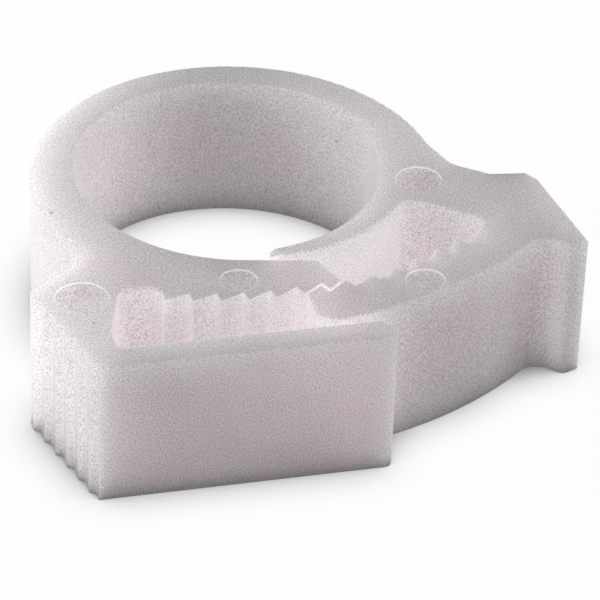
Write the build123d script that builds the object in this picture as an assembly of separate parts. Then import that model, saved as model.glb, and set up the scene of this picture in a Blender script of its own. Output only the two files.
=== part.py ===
from build123d import *
import os
from math import cos, radians, sin

os.makedirs("parts", exist_ok=True)

# Hose clip, one moulded piece, lying on its side face. Lengths in mm, angles in degrees.
# +Z is the axis of the hose, +X runs along the outer jaw, and the jaw is at the front (-Y).
# The origin is on the axis of the hose, in the face the clip lies on.

height = 6.7            # width of the band along the hose
edge_round = 0.12       # on the long top rims; the mould parts at the bottom face, which is sharp
long_rim = 2.0          # shorter edges, as on the teeth, stay sharp

# Hose: the clip holds it between the inner finger and the back left of the ring
hose_radius = 6.625
seat_half_angle = 32.0  # of the ring's contact with the hose

# Ring, centred a little towards the finger
ring_offset = 0.375
ring_offset_angle = -46.75
ring_from_angle = 19.0  # the bore runs counter-clockwise from this angle
ring_to_angle = 259.3   # to this one, where the left arm takes over
ring_back_wall = 1.45   # the outside has its own centre, so the wall is thickest at the front
ring_front_wall = 2.29
shoulder_angle = 4.0    # the outside of the ring goes on down to here

# Thin inner finger on the hose
finger_blend_angle = -6.2   # from this angle its hose side runs straight out to the ring
finger_tip_angle = -87.3
finger_root = (-40.3, 1.18)     # angle and thickness
finger_middle = (-61.2, 0.94)
finger_neck = (-83.6, 0.52)
toe_round = 0.55
toe_gap = 0.14          # between the finger's toe and the left arm

# Ratchet: two rows of saw teeth about one centre, straight behind the front of the ring
ratchet_x = -0.2
left_tip_radius = 16.25     # the left arm's teeth point outward
tooth_depth = 0.55
tooth_pitch_angle = 4.12    # angle from tip to tip
flank_angle = 0.6       # angle from tip to valley on the steep side
first_tip_angle = 8.75  # angle of the tooth nearest the free end
left_teeth = 7
right_teeth = 7
flank_gap_angle = 0.42  # angular gap between the engaged steep sides
row_gap = 0.19          # radial gap between the two rows

# Left arm
arm_thick = 2.36        # from the bore to the valleys, where they are closest
arm_lift = 0.73         # how far its bore side has moved off the bore at the end
arm_end_angle = -75.8
nose_angle = 2.2        # past the first tooth
nose_rise = 0.12        # above the valleys

# Right arm
web_thick = 1.96        # from its valleys to its outer face
arm_tip_angle = 5.2
arm_tip_lean_angle = 0.6
arm_tip_round = 1.0
pad_root_angle = 7.25   # from its last valley to the end of its outer face

# Outer jaw and the slot behind it, which the right arm slides into
jaw_gap = 0.19
jaw_thick = 1.25
jaw_length = 12.5
jaw_chamfer = 0.6
jaw_round = 0.35
slot_before_teeth = 2.56
slot_head = (-1.7, -0.35)   # x of its two upper corners from the first tooth's valley
slot_lead = 1.35        # height of its straight end
slot_top = 0.55         # above the first valley
slot_round = 0.45

# Left pad, with gripping teeth
tread_share = 0.75      # of each step along the pad; its riser slopes over the rest
pad_wall = 0.97         # between the pad's front end and the slot
pad_lean = 1.8
pad_length = 5.9
pad_land = 0.35         # plain strip between the last tread and the front
pad_teeth = 6
notch_angle = 214.3
notch_reach = 0.75      # past the outside of the ring
notch_round = 1.5
overlap_angle = 20.0    # the left side joins the ring's wall from this far behind the notch

# Right pad, from the end of the right arm's outer face; it is plain
right_reach = 2.2
right_drop = 0.47
right_length = 4.85
right_lean = 0.8
heel = (1.45, -0.82)
heel_round = 0.4
heel_hollow = (0.8, -0.12)
hollow_round = 0.7
shoulder = ((0.95, 5.03), (-0.55, 5.23))
waist_angle = -6.0
waist_reach = 0.6
waist_round = 1.2

# Pocket between the finger and the right arm's teeth
pocket_angle = 3.65     # from the last valley to the corner where the teeth stop
pocket_round = 0.5
pocket_mouth = (-28.75, 1.49)   # angle, and distance from the hose
mouth_round = 0.65

# Ejector pin marks, shallow round recesses in the top face
mark_depth = 0.05
pad_mark = (2.0, -0.9, 1.15)    # from the back corner of the pad, and radius
left_mark = (-100.8, 1.55, 0.8)   # angle, distance from the bore, and radius
right_mark = (22.0, 0.85)   # angle and radius
ring_mark = (-16.6, 1.05, 1.0)


def polar(radius, angle, centre=(0, 0)):
    return (centre[0] + radius * cos(radians(angle)), centre[1] + radius * sin(radians(angle)))


ring_centre = polar(ring_offset, ring_offset_angle)
bore_radius = hose_radius + ring_offset
outer_radius = bore_radius + (ring_back_wall + ring_front_wall) / 2
outer_centre = (ring_centre[0], ring_centre[1] - (ring_front_wall - ring_back_wall) / 2)
left_valley_radius = left_tip_radius - tooth_depth
right_valley_radius = left_tip_radius + row_gap
right_tip_radius = left_valley_radius + row_gap
ratchet_y = ring_centre[1] + left_valley_radius - bore_radius - arm_thick
arm_outer_radius = right_valley_radius + web_thick
jaw_inner = ratchet_y - arm_outer_radius - jaw_gap
jaw_front = jaw_inner - jaw_thick


def on_bore(angle, out=0.0):
    """Point of the ring's bore, or that far outside it."""
    return polar(bore_radius + out, angle, ring_centre)


def on_outside(angle, out=0.0):
    """Point of the ring's outside, or that far beyond it."""
    return polar(outer_radius + out, angle, outer_centre)


def on_finger(place):
    """Point beside the hose, from its angle and its distance."""
    return polar(hose_radius + place[1], place[0])


def ratchet(radius, angle):
    """Point about the ratchet centre, the angle counted from -Y towards +X."""
    return (ratchet_x + radius * sin(radians(angle)), ratchet_y - radius * cos(radians(angle)))


def from_point(point, step):
    return (point[0] + step[0], point[1] + step[1])


def radius_on_line(start, end, angle):
    """Distance from the hose's axis to the line from start to end, along an angle."""
    dx, dy = end[0] - start[0], end[1] - start[1]
    ux, uy = polar(1, angle)
    return (start[0] * dy - start[1] * dx) / (ux * dy - uy * dx)


def stair(start, end, count):
    """Gripping teeth: count treads along Y, joined by risers, from start to end."""
    points = []
    for k in range(count):
        x = start[0] + (end[0] - start[0]) * k / count
        y = start[1] + (end[1] - start[1]) * k / count
        points += [(x, y), (x, y + tread_share * (end[1] - start[1]) / count)]
    return points + [end]


def rounded(face, corner, radius):
    return fillet(face.vertices().sort_by_distance(Vector(*corner))[0], radius)


seat_from_angle = ring_offset_angle + 180 - seat_half_angle
seat_to_angle = seat_from_angle + 2 * seat_half_angle
seat_from = polar(hose_radius, seat_from_angle)
seat_to = polar(hose_radius, seat_to_angle)
ring = make_face([
    TangentArc(seat_from, on_bore(ring_from_angle), tangent=polar(1, seat_from_angle - 90)),
    CenterArc((0, 0), hose_radius, seat_from_angle, seat_to_angle - seat_from_angle),
    TangentArc(seat_to, on_bore(ring_to_angle), tangent=polar(1, seat_to_angle + 90)),
    Line(on_bore(ring_to_angle), on_outside(ring_to_angle)),
    CenterArc(outer_centre, outer_radius, ring_from_angle, ring_to_angle - ring_from_angle),
    Line(on_outside(ring_from_angle), on_bore(ring_from_angle)),
])

# Left side: pad, jaw, slot and toothed arm, closed through the wall of the ring
left_row = []
for k in reversed(range(left_teeth)):
    tip = first_tip_angle - k * tooth_pitch_angle
    left_row += [ratchet(left_valley_radius, tip - flank_angle), ratchet(left_tip_radius, tip)]
row_x, row_y = left_row[0]
slot_x = row_x - slot_before_teeth
slot_end = (slot_x, jaw_inner)
slot_head_left = (row_x + slot_head[0], row_y + slot_top)
slot_head_right = (row_x + slot_head[1], row_y + slot_top)
pad_front_x = slot_x - pad_wall
pad_back = (pad_front_x - pad_lean, jaw_front + pad_length)
notch = on_outside(notch_angle, notch_reach)
wall_middle = ring_back_wall / 2
wall_from_angle = notch_angle - overlap_angle
jaw_tip = pad_front_x + jaw_length
arm_start = on_bore(ring_to_angle)
arm_end = on_bore(arm_end_angle, arm_lift)
overlap = CenterArc(
    ring_centre, bore_radius + wall_middle, wall_from_angle, ring_to_angle - wall_from_angle)
left = make_face([
    Polyline(
        on_bore(wall_from_angle, wall_middle), notch,
        *stair(pad_back, (pad_front_x, jaw_front + pad_land), pad_teeth),
        (pad_front_x, jaw_front), (jaw_tip, jaw_front), (jaw_tip, jaw_inner - jaw_chamfer),
        (jaw_tip - jaw_chamfer, jaw_inner), slot_end, (slot_x, jaw_inner + slot_lead),
        slot_head_left, slot_head_right, *left_row,
        ratchet(left_valley_radius + nose_rise, first_tip_angle + nose_angle),
        arm_end, arm_start, on_bore(ring_to_angle, wall_middle),
    ),
    overlap,
])
left = rounded(left, notch, notch_round)
left = rounded(left, (jaw_tip, jaw_front), jaw_round)
for corner in (slot_end, slot_head_left, slot_head_right):
    left = rounded(left, corner, slot_round)

# Right side: finger, pocket, toothed arm and pad, closed along the end of the ring
first_valley_angle = first_tip_angle - flank_gap_angle
last_valley_angle = first_valley_angle + (right_teeth - 1) * tooth_pitch_angle
right_row = []
for k in range(right_teeth):
    valley = first_valley_angle + k * tooth_pitch_angle
    right_row += [ratchet(right_tip_radius, valley - flank_angle), ratchet(right_valley_radius, valley)]
ramp = (arm_tip_angle - first_valley_angle + tooth_pitch_angle) / (tooth_pitch_angle - flank_angle)
arm_tip = ratchet(right_valley_radius - ramp * tooth_depth, arm_tip_angle)
corner_angle = arm_tip_angle - arm_tip_lean_angle
root_angle = last_valley_angle + pad_root_angle
arm_corner = ratchet(arm_outer_radius, corner_angle)
pad_root = ratchet(arm_outer_radius, root_angle)
right_front = from_point(pad_root, (right_reach, -right_drop))
right_back = from_point(right_front, (-right_lean, right_length))
waist = on_outside(waist_angle, waist_reach)
pocket_end = ratchet(right_tip_radius, root_angle)
toe = polar(radius_on_line(arm_start, arm_end, finger_tip_angle) - toe_gap, finger_tip_angle)
finger_corner = polar(hose_radius, finger_tip_angle)
right = make_face([
    Polyline(
        polar(hose_radius, finger_blend_angle), on_bore(ring_from_angle),
        on_outside(ring_from_angle),
    ),
    CenterArc(outer_centre, outer_radius, shoulder_angle, ring_from_angle - shoulder_angle),
    Polyline(
        on_outside(shoulder_angle), waist,
        from_point(pad_root, shoulder[1]), from_point(pad_root, shoulder[0]),
        right_back, right_front, from_point(pad_root, heel), from_point(pad_root, heel_hollow), pad_root,
    ),
    CenterArc((ratchet_x, ratchet_y), arm_outer_radius, corner_angle - 90, root_angle - corner_angle),
    Polyline(
        arm_corner, arm_tip, *right_row,
        ratchet((right_tip_radius + right_valley_radius) / 2, last_valley_angle + pocket_angle),
        pocket_end, on_finger(pocket_mouth), on_finger(finger_root),
    ),
    ThreePointArc(on_finger(finger_root), on_finger(finger_middle), on_finger(finger_neck)),
    Polyline(on_finger(finger_neck), toe, finger_corner),
    CenterArc((0, 0), hose_radius, finger_tip_angle, finger_blend_angle - finger_tip_angle),
])
right = rounded(right, arm_corner, arm_tip_round)
right = rounded(right, from_point(pad_root, heel), heel_round)
right = rounded(right, from_point(pad_root, heel_hollow), hollow_round)
right = rounded(right, pad_root, hollow_round)
right = rounded(right, pocket_end, pocket_round)
right = rounded(right, on_finger(pocket_mouth), mouth_round)
right = rounded(right, waist, waist_round)
right = rounded(right, finger_corner, toe_round)

clip = extrude(ring + left + right, height)
rims = clip.faces().sort_by(Axis.Z)[-1].edges()
clip = fillet([rim for rim in rims if rim.length > long_rim], edge_round)
web_middle = (right_valley_radius + arm_outer_radius) / 2
marks = (
    (from_point(pad_back, pad_mark[:2]), pad_mark[2]),
    (on_bore(*left_mark[:2]), left_mark[2]),
    (ratchet(web_middle, right_mark[0]), right_mark[1]),
    (on_bore(*ring_mark[:2]), ring_mark[2]),
)
for (x, y), radius in marks:
    clip -= Pos(x, y, height - mark_depth) * Cylinder(
        radius, mark_depth, align=(Align.CENTER, Align.CENTER, Align.MIN))

clip.label = "hose_clip"
export_step(clip, "parts/hose_clip.step")
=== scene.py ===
from math import cos, radians, sin

import bpy
from mathutils import Matrix, Vector

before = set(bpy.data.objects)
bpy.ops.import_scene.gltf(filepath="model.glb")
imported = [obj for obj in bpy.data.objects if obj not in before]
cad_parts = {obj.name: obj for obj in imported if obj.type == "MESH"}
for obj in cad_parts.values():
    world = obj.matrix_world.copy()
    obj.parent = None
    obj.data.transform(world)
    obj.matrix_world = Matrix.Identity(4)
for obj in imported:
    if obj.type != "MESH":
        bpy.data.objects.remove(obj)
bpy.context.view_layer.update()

MM = 0.001
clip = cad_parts["hose_clip"]

# Colours of the nylon, and of its painted highlight on rims and painted glow in hollows
DARKER_CLOUD = (0.88, 0.805, 0.83, 1)
PALER_CLOUD = (0.96, 0.885, 0.91, 1)
RIM_PAINTED_HIGHLIGHT = (1.0, 0.96, 0.975, 1)
PAINTED_GLOW_COLOUR = (1.0, 0.955, 0.968, 1)

# Colour of the table, and the share of plain white in what the camera sees of it
TABLE = (0.9, 0.89, 0.895, 1)
WHITE_SHARE = 0.97
TABLE_SIZE = 3.0

# Ramps, as (position, brightness)
GRAIN = [(0.34, 0.5), (0.62, 1.0)]
SPECKS = [(0.02, 0.4), (0.04, 1.0)]
CONTACT_SHADOW = [(0.35, 0.25), (0.6, 0.77), (0.8, 0.94), (0.95, 1.0)]
SHADOW_LEAN = (-0.6, 0.35, 0.72)    # away from the side on which the shadow reaches further

ROOM_LIGHT = 0.1


def node(tree, kind, **values):
    """Adds a shader node and sets its inputs and properties by name."""
    made = tree.nodes.new(kind)
    for name, value in values.items():
        socket = made.inputs.get(name.replace("_", " "))
        if socket is not None:
            socket.default_value = value
        else:
            setattr(made, name, value)
    return made


def grey_ramp(tree, source, stops):
    """Colour ramp from a list of (position, brightness)."""
    ramp = node(tree, "ShaderNodeValToRGB")
    points = ramp.color_ramp.elements
    while len(points) < len(stops):
        points.new(0.5)
    for point, (place, level) in zip(points, stops):
        point.position = place
        point.color = (level, level, level, 1)
    tree.links.new(source, ramp.inputs["Fac"])
    return ramp.outputs["Color"]


def times(tree, first, second):
    """Product of two colours."""
    mix = node(tree, "ShaderNodeMix", data_type="RGBA", blend_type="MULTIPLY")
    mix.inputs["Factor"].default_value = 1
    tree.links.new(first, mix.inputs["A"])
    tree.links.new(second, mix.inputs["B"])
    return mix.outputs["Result"]


def calculate(tree, operation, first, second):
    """Result of one operation on two values."""
    step = node(tree, "ShaderNodeMath", operation=operation)
    tree.links.new(first, step.inputs[0])
    tree.links.new(second, step.inputs[1])
    return step.outputs[0]


def painted_highlight_mask(tree):
    """Mask for the painted highlight: 0.6 on the sharpest rims, falling to 0 on flat faces."""
    bevel = node(tree, "ShaderNodeBevel", samples=4, Radius=0.1 * MM)
    straight = node(tree, "ShaderNodeNewGeometry").outputs["Normal"]
    bend = node(tree, "ShaderNodeVectorMath", operation="DOT_PRODUCT")
    tree.links.new(bevel.outputs["Normal"], bend.inputs[0])
    tree.links.new(straight, bend.inputs[1])
    rim = node(tree, "ShaderNodeMapRange", From_Min=0.97, From_Max=0.8, To_Min=0.0, To_Max=0.6)
    tree.links.new(bend.outputs["Value"], rim.inputs["Value"])
    return rim.outputs["Result"]


def painted_glow(tree):
    """Painted glow: emission in hollows, in place of the light the nylon carries into them, and
    near the table, in place of what the table gives back.
    """
    hollow = node(tree, "ShaderNodeAmbientOcclusion", samples=4, only_local=True, Distance=5 * MM)
    glow = node(tree, "ShaderNodeMapRange", From_Min=1.0, From_Max=0.4, To_Min=0.0, To_Max=0.19)
    tree.links.new(hollow.outputs["AO"], glow.inputs["Value"])
    table = node(tree, "ShaderNodeAmbientOcclusion", samples=4, Distance=2 * MM)
    bounce = node(tree, "ShaderNodeMapRange", From_Min=1.0, From_Max=0.0, To_Min=0.0, To_Max=0.06)
    tree.links.new(table.outputs["AO"], bounce.inputs["Value"])
    return calculate(tree, "ADD", glow.outputs["Result"], bounce.outputs["Result"])


def nylon():
    """Natural nylon: milky and translucent, with a fine grain, faint clouds and a few specks, a
    painted highlight on the rims and a painted glow in hollows and near the table.
    """
    mat = bpy.data.materials.new("natural_nylon")
    mat.use_nodes = True
    tree = mat.node_tree
    tree.nodes.clear()
    link = tree.links.new
    place = node(tree, "ShaderNodeTexCoord").outputs["Object"]

    grain = node(tree, "ShaderNodeTexNoise", Scale=13 / MM, Detail=2.0, Roughness=0.6)
    clouds = node(tree, "ShaderNodeTexNoise", Scale=0.35 / MM, Detail=3.0, Roughness=0.55)
    specks = node(tree, "ShaderNodeTexVoronoi", Scale=0.36 / MM, Randomness=1.0)
    for texture in (grain, clouds, specks):
        link(place, texture.inputs["Vector"])
    tint = node(tree, "ShaderNodeValToRGB")
    darker, lighter = tint.color_ramp.elements
    darker.position, darker.color = 0.3, DARKER_CLOUD
    lighter.position, lighter.color = 0.7, PALER_CLOUD
    link(clouds.outputs["Fac"], tint.inputs["Fac"])
    grainy = grey_ramp(tree, grain.outputs["Fac"], GRAIN)
    spotted = grey_ramp(tree, specks.outputs["Distance"], SPECKS)
    colour = times(tree, times(tree, tint.outputs["Color"], grainy), spotted)

    # painted highlight: the rims are mixed towards a paler colour, standing in for light caught on
    # the rounded edges
    painted_highlight = node(tree, "ShaderNodeMix", data_type="RGBA")
    painted_highlight.inputs["B"].default_value = RIM_PAINTED_HIGHLIGHT
    link(painted_highlight_mask(tree), painted_highlight.inputs["Factor"])
    link(colour, painted_highlight.inputs["A"])
    bump = node(tree, "ShaderNodeBump", Strength=0.35, Distance=0.015 * MM)
    link(grain.outputs["Fac"], bump.inputs["Height"])

    skin = node(tree, "ShaderNodeBsdfPrincipled", Roughness=0.3, IOR=1.53)
    skin.inputs["Subsurface Weight"].default_value = 1.0
    skin.inputs["Subsurface Radius"].default_value = (1.0, 0.9, 0.92)
    skin.inputs["Subsurface Scale"].default_value = 10 * MM
    skin.inputs["Subsurface Anisotropy"].default_value = 0.8
    # painted glow: emission in hollows and near the table, not from a lamp
    skin.inputs["Emission Color"].default_value = PAINTED_GLOW_COLOUR
    link(painted_highlight.outputs["Result"], skin.inputs["Base Color"])
    link(bump.outputs["Normal"], skin.inputs["Normal"])
    link(painted_glow(tree), skin.inputs["Emission Strength"])
    out = node(tree, "ShaderNodeOutputMaterial")
    link(skin.outputs[0], out.inputs["Surface"])
    return mat


def floor():
    """White table: what the camera sees of it is mostly a plain white, with the contact shadow."""
    bpy.ops.mesh.primitive_plane_add(size=TABLE_SIZE, location=(0, 0, 0))
    ground = bpy.context.object
    ground.name = "floor"
    mat = bpy.data.materials.new("white_table")
    mat.use_nodes = True
    tree = mat.node_tree
    link = tree.links.new
    paper = tree.nodes["Principled BSDF"]
    paper.inputs["Base Color"].default_value = TABLE
    paper.inputs["Roughness"].default_value = 0.8
    near = node(
        tree, "ShaderNodeAmbientOcclusion", samples=16, Distance=2.5 * MM, Normal=SHADOW_LEAN)
    white = node(tree, "ShaderNodeEmission")
    link(grey_ramp(tree, near.outputs["AO"], CONTACT_SHADOW), white.inputs["Color"])
    rays = node(tree, "ShaderNodeLightPath").outputs
    seen = calculate(tree, "MAXIMUM", rays["Is Camera Ray"], rays["Is Glossy Ray"])
    seen_too = calculate(tree, "MAXIMUM", seen, rays["Is Transmission Ray"])
    share = node(tree, "ShaderNodeMath", operation="MULTIPLY")
    share.inputs[1].default_value = WHITE_SHARE
    link(seen_too, share.inputs[0])
    mix = node(tree, "ShaderNodeMixShader")
    link(share.outputs[0], mix.inputs["Fac"])
    link(paper.outputs[0], mix.inputs[1])
    link(white.outputs[0], mix.inputs[2])
    link(mix.outputs[0], tree.nodes["Material Output"].inputs["Surface"])
    ground.data.materials.append(mat)


def area(name, at, aim, size, power):
    """Round soft lamp at one point, aimed at another, in metres and watts."""
    data = bpy.data.lights.new(name, "AREA")
    data.shape = "DISK"
    data.size = size
    data.energy = power
    lamp = bpy.data.objects.new(name, data)
    bpy.context.scene.collection.objects.link(lamp)
    lamp.location = at
    lamp.rotation_euler = (Vector(aim) - Vector(at)).to_track_quat("-Z", "Y").to_euler()
    lamp.visible_camera = False
    return lamp


def studio():
    """Three soft lamps, kept out of reflections, two small ones for the glints, and a dim room."""
    ring = (0, 0, 0.003)
    middle = (0.003, -0.002, 0.003)
    soft = (
        area("left_lamp", at=(-0.06, 0.01, 0.03), aim=ring, size=0.04, power=0.034),
        area("right_lamp", at=(0.22, -0.03, 0.12), aim=ring, size=0.14, power=0.19),
        area("top_lamp", at=(0.05, 0.02, 0.12), aim=middle, size=0.05, power=0.034),
    )
    for lamp in soft:
        lamp.visible_glossy = False
    small = (
        area("right_glint", at=(0.049, 0.005, 0.075), aim=middle, size=0.006, power=0.016),
        area("left_glint", at=(-0.027, 0.0065, 0.0856), aim=middle, size=0.006, power=0.016),
    )
    for lamp in small:
        lamp.visible_diffuse = False
    world = bpy.data.worlds.new("studio")
    world.use_nodes = True
    room = world.node_tree.nodes["Background"]
    room.inputs["Color"].default_value = (1, 1, 1, 1)
    room.inputs["Strength"].default_value = ROOM_LIGHT
    bpy.context.scene.world = world


def camera():
    """Long lens, at the photograph's viewing angle."""
    azimuth, elevation, roll = radians(-14.47), radians(34.93), radians(2.33)
    distance = 177.3 * MM
    aim = Vector((3.26, -1.118, -0.097)) * MM
    back = Vector((sin(azimuth) * cos(elevation), -cos(azimuth) * cos(elevation), sin(elevation)))
    right = Vector((cos(azimuth), sin(azimuth), 0))
    up = back.cross(right)
    tilted = cos(roll) * right + sin(roll) * up
    turn = Matrix((tilted, back.cross(tilted), back)).transposed()
    data = bpy.data.cameras.new("camera")
    data.lens = 240
    data.sensor_width = 36
    data.clip_start = 0.01
    eye = bpy.data.objects.new("camera", data)
    bpy.context.scene.collection.objects.link(eye)
    eye.matrix_world = Matrix.Translation(aim + distance * back) @ turn.to_4x4()
    bpy.context.scene.camera = eye


clip.data.materials.clear()
clip.data.materials.append(nylon())
floor()
studio()
camera()
bpy.context.scene.view_settings.view_transform = "Standard"
